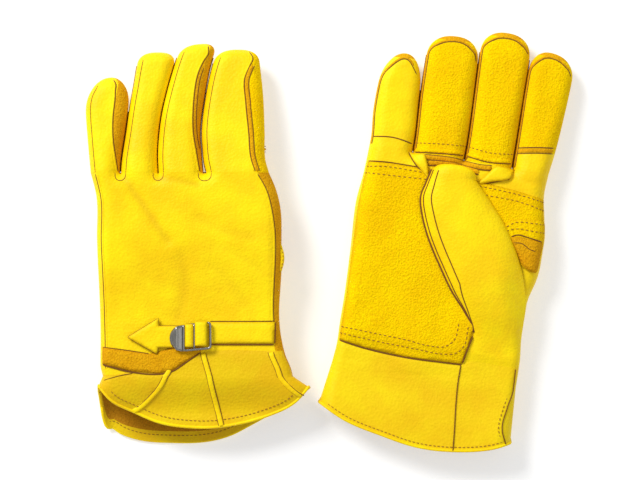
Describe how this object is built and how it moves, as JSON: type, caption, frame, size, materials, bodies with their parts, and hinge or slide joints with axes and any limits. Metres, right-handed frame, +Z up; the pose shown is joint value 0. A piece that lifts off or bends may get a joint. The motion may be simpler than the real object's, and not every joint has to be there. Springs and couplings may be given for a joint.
{
  "type": "pair of leather protector work gloves",
  "caption": "Pair of yellow leather work gloves with a buckled wrist strap, sewn from back, palm, finger and thumb panels; fingers and thumbs bend.",
  "frame": {"origin": "centre of the pair's bounding box, on the surface that the gloves lie on", "axes": "+X from the left glove to the right glove, +Y from the cuffs to the fingertips, +Z up"},
  "size_m": [0.3104, 0.2684, 0.033],
  "materials": {
    "smooth_leather": "smooth grain leather",
    "suede_leather": "rough napped leather",
    "ochre_suede": "flesh side of the leather, matt",
    "thread": "sewing thread",
    "buckle_metal": "dark nickel plate"
  },
  "bodies": {
    "left_hand": {"left_back_panel": "smooth_leather", "left_palm_panel": "smooth_leather", "left_palm_patch": "suede_leather", "left_saddle_patch": "suede_leather", "left_cuff_back_outer": "smooth_leather", "left_cuff_back_centre": "smooth_leather", "left_cuff_back_inner": "smooth_leather", "left_cuff_palm": "smooth_leather", "left_wrist_strap": "smooth_leather", "left_buckle_strap": "ochre_suede", "left_buckle_frame": "buckle_metal", "left_strap_keeper": "smooth_leather"},
    "left_pinky": {"left_pinky_back": "smooth_leather", "left_pinky_front": "suede_leather", "left_pinky_inner": "ochre_suede"},
    "left_ring": {"left_ring_back": "smooth_leather", "left_ring_front": "suede_leather", "left_ring_outer": "ochre_suede", "left_ring_inner": "ochre_suede"},
    "left_middle": {"left_middle_back": "smooth_leather", "left_middle_front": "suede_leather", "left_middle_outer": "ochre_suede", "left_middle_inner": "ochre_suede"},
    "left_index": {"left_index_back": "smooth_leather", "left_index_front": "suede_leather", "left_index_outer": "ochre_suede"},
    "left_thumb": {"left_thumb_outer": "smooth_leather", "left_thumb_inner": "smooth_leather"},
    "left_lever": {"left_buckle_lever": "buckle_metal"},
    "left_tab": {"left_pull_tab": "smooth_leather"},
    "right_hand": {"right_back_panel": "smooth_leather", "right_palm_panel": "smooth_leather", "right_palm_patch": "suede_leather", "right_saddle_patch": "suede_leather", "right_cuff_back_outer": "smooth_leather", "right_cuff_back_centre": "smooth_leather", "right_cuff_back_inner": "smooth_leather", "right_cuff_palm": "smooth_leather", "right_wrist_strap": "smooth_leather", "right_buckle_strap": "ochre_suede", "right_buckle_frame": "buckle_metal", "right_strap_keeper": "smooth_leather"},
    "right_pinky": {"right_pinky_back": "smooth_leather", "right_pinky_front": "suede_leather", "right_pinky_inner": "ochre_suede"},
    "right_ring": {"right_ring_back": "smooth_leather", "right_ring_front": "suede_leather", "right_ring_outer": "ochre_suede", "right_ring_inner": "ochre_suede"},
    "right_middle": {"right_middle_back": "smooth_leather", "right_middle_front": "suede_leather", "right_middle_outer": "ochre_suede", "right_middle_inner": "ochre_suede"},
    "right_index": {"right_index_back": "smooth_leather", "right_index_front": "suede_leather", "right_index_outer": "ochre_suede"},
    "right_thumb": {"right_thumb_outer": "smooth_leather", "right_thumb_inner": "smooth_leather"},
    "right_lever": {"right_buckle_lever": "buckle_metal"},
    "right_tab": {"right_pull_tab": "smooth_leather"}
  },
  "joints": [
    {"name": "left_pinky_bend", "type": "hinge", "parent": "left_hand", "child": "left_pinky", "pos_m": [-0.14245, 0.04356, 0.012], "axis": [-1, 0, 0], "range_deg": [0, 70]},
    {"name": "left_ring_bend", "type": "hinge", "parent": "left_hand", "child": "left_ring", "pos_m": [-0.12095, 0.04356, 0.012], "axis": [-1, 0, 0], "range_deg": [0, 70]},
    {"name": "left_middle_bend", "type": "hinge", "parent": "left_hand", "child": "left_middle", "pos_m": [-0.0947, 0.04356, 0.012], "axis": [-1, 0, 0], "range_deg": [0, 70]},
    {"name": "left_index_bend", "type": "hinge", "parent": "left_hand", "child": "left_index", "pos_m": [-0.05945, 0.04356, 0.012], "axis": [-1, 0, 0], "range_deg": [0, 70]},
    {"name": "left_thumb_swing", "type": "hinge", "parent": "left_hand", "child": "left_thumb", "pos_m": [-0.06084, -0.0553, 0.012], "axis": [-0.4153, -0.9097, 0], "range_deg": [0, 85]},
    {"name": "left_lever_open", "type": "hinge", "parent": "left_hand", "child": "left_lever", "pos_m": [-0.0926, -0.06174, 0.0312], "axis": [0, 1, 0], "range_deg": [0, 80]},
    {"name": "left_tab_pull", "type": "slide", "parent": "left_hand", "child": "left_tab", "axis": [-1, 0, 0], "range_m": [0, 0.018]},
    {"name": "right_lift_off", "type": "slide", "parent": "left_hand", "child": "right_hand", "axis": [0, 0, 1], "range_m": [0, 0.15]},
    {"name": "right_pinky_bend", "type": "hinge", "parent": "right_hand", "child": "right_pinky", "pos_m": [0.03917, 0.05952, 0.021], "axis": [0.9863, -0.165, 0], "range_deg": [0, 70]},
    {"name": "right_ring_bend", "type": "hinge", "parent": "right_hand", "child": "right_ring", "pos_m": [0.06975, 0.0544, 0.021], "axis": [0.9863, -0.165, 0], "range_deg": [0, 70]},
    {"name": "right_middle_bend", "type": "hinge", "parent": "right_hand", "child": "right_middle", "pos_m": [0.10205, 0.049, 0.021], "axis": [0.9863, -0.165, 0], "range_deg": [0, 70]},
    {"name": "right_index_bend", "type": "hinge", "parent": "right_hand", "child": "right_index", "pos_m": [0.12967, 0.04438, 0.021], "axis": [0.9863, -0.165, 0], "range_deg": [0, 70]},
    {"name": "right_thumb_swing", "type": "hinge", "parent": "right_hand", "child": "right_thumb", "pos_m": [0.09425, -0.05971, 0.021], "axis": [0.5465, 0.8374, 0], "range_deg": [0, 85]},
    {"name": "right_lever_open", "type": "hinge", "parent": "right_hand", "child": "right_lever", "pos_m": [0.06068, -0.06098, 0.0018], "axis": [-0.165, -0.9863, 0], "range_deg": [0, 80]},
    {"name": "right_tab_pull", "type": "slide", "parent": "right_hand", "child": "right_tab", "axis": [-0.9863, 0.165, 0], "range_m": [0, 0.018]}
  ]
}
